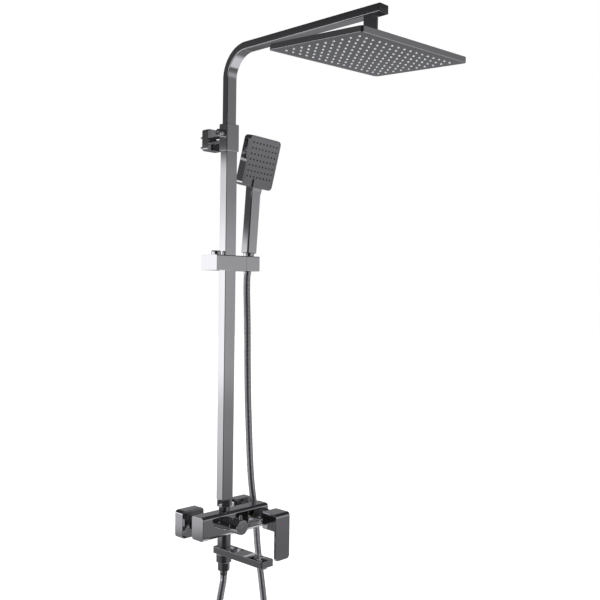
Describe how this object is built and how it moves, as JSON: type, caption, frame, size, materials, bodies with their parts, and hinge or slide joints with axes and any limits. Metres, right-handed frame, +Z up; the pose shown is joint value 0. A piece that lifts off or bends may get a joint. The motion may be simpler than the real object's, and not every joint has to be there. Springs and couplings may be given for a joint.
{
  "type": "rainfall shower column",
  "caption": "Wall-hung shower column: bath mixer with lever, diverter and swivel spout, telescopic riser, square-cornered rain head, sliding hand shower and flexible hose.",
  "frame": {"origin": "on the wall plane, midway between the two water inlets", "axes": "+X to the right seen from the room, +Y into the wall, +Z up along the riser"},
  "size_m": [0.3142, 0.5958, 1.5312],
  "materials": {
    "chrome": "polished chrome plate",
    "plated_plastic": "chrome-plated moulding, polished",
    "face_grey": "satin spray face",
    "nozzle_silicone": "matt silicone",
    "seal_rubber": "matt",
    "brass": "machined",
    "zinc_steel": "zinc plated",
    "moulded_plastic": "moulded",
    "hose_steel": "polished interlocked strip"
  },
  "bodies": {
    "root": {"wall_flange_left": "chrome", "wall_flange_right": "chrome", "wall_union_left": "chrome", "wall_union_right": "chrome", "union_nut_left": "chrome", "union_nut_right": "chrome", "inlet_washer_left": "seal_rubber", "inlet_washer_right": "seal_rubber", "mixer_body": "chrome", "mixing_cartridge": "moulded_plastic", "cartridge_nut": "brass", "cartridge_bonnet": "chrome", "diverter_cartridge": "brass", "diverter_sleeve": "chrome", "spout_pillar": "chrome", "outlet_collar": "chrome", "hose_nut": "chrome", "hose_washer": "seal_rubber", "hose_ferrule_lower": "chrome", "shower_hose": "hose_steel", "riser_neck": "chrome", "riser_nut": "chrome", "riser_plug": "brass", "riser_tube": "chrome", "bracket_collar": "plated_plastic", "bracket_flange": "chrome", "bracket_plate": "zinc_steel", "bracket_stem": "chrome", "wall_screw_upper": "zinc_steel", "wall_screw_lower": "zinc_steel"},
    "turret": {"cartridge_turret": "brass"},
    "lever": {"lever_handle": "chrome", "cartridge_spindle": "brass", "lever_grub_screw": "zinc_steel"},
    "diverter": {"diverter_knob": "chrome", "diverter_pin": "chrome", "diverter_spindle": "brass"},
    "spout": {"spout": "chrome", "spout_aerator": "chrome"},
    "arm": {"riser_arm": "chrome", "arm_end_cap": "plated_plastic", "ball_nut": "chrome", "ball_stud": "chrome"},
    "ball_seat": {"ball_seat": "moulded_plastic"},
    "head": {"head_shell": "chrome", "head_socket": "chrome", "head_socket_ring": "chrome", "head_face": "face_grey", "head_nozzle_mat": "nozzle_silicone", "head_centre_screw": "zinc_steel"},
    "lock_knob": {"bracket_lock_knob": "plated_plastic"},
    "slider": {"slider_body": "plated_plastic", "holder_pivot": "zinc_steel"},
    "button": {"slider_button": "plated_plastic"},
    "holder": {"holder": "plated_plastic"},
    "hand_shower": {"hand_shower_shell": "plated_plastic", "hand_shower_face": "face_grey", "hand_nozzle_mat": "nozzle_silicone", "hose_cone_nut": "chrome", "hose_ferrule_upper": "chrome"}
  },
  "joints": [
    {"name": "lever_turn", "type": "hinge", "parent": "root", "child": "turret", "pos_m": [0.078, -0.095, 0], "axis": [0, 1, 0], "range_deg": [-35, 35]},
    {"name": "lever_lift", "type": "hinge", "parent": "turret", "child": "lever", "pos_m": [0.078, -0.095, 0], "axis": [-1, 0, 0], "range_deg": [0, 25]},
    {"name": "diverter_turn", "type": "hinge", "parent": "root", "child": "diverter", "pos_m": [-0.02, -0.119, 0], "axis": [0, 1, 0], "range_deg": [-60, 60]},
    {"name": "spout_turn", "type": "hinge", "parent": "root", "child": "spout", "pos_m": [-0.02, -0.0665, -0.061], "axis": [0, 0, 1], "range_deg": [-90, 5]},
    {"name": "riser_height", "type": "slide", "parent": "root", "child": "arm", "axis": [0, 0, 1], "range_m": [-0.08, 0.12]},
    {"name": "head_tilt", "type": "hinge", "parent": "arm", "child": "ball_seat", "pos_m": [-0.02, -0.4555, 0.976], "axis": [1, 0, 0], "range_deg": [-12, 12]},
    {"name": "head_roll", "type": "hinge", "parent": "ball_seat", "child": "head", "pos_m": [-0.02, -0.4555, 0.976], "axis": [0, 1, 0], "range_deg": [-12, 12]},
    {"name": "bracket_lock", "type": "hinge", "parent": "root", "child": "lock_knob", "pos_m": [-0.045, -0.0665, 0.851], "axis": [1, 0, 0], "range_deg": [-180, 180]},
    {"name": "slider_height", "type": "slide", "parent": "root", "child": "slider", "axis": [0, 0, 1], "range_m": [-0.4, 0.15], "deforming": ["shower_hose"]},
    {"name": "button_press", "type": "slide", "parent": "slider", "child": "button", "axis": [0, 0, -1], "range_m": [0, 0.003], "stiffness_N_per_m": 500, "springref_m": -0.002},
    {"name": "holder_tilt", "type": "hinge", "parent": "slider", "child": "holder", "pos_m": [0.019, -0.061, 0.571], "axis": [1, 0, 0], "range_deg": [-15, 15], "deforming": ["shower_hose"]},
    {"name": "hand_turn", "type": "hinge", "parent": "holder", "child": "hand_shower", "pos_m": [0.04, -0.068, 0.571], "axis": [0.0785, 0, 0.9969], "range_deg": [-30, 60]}
  ]
}
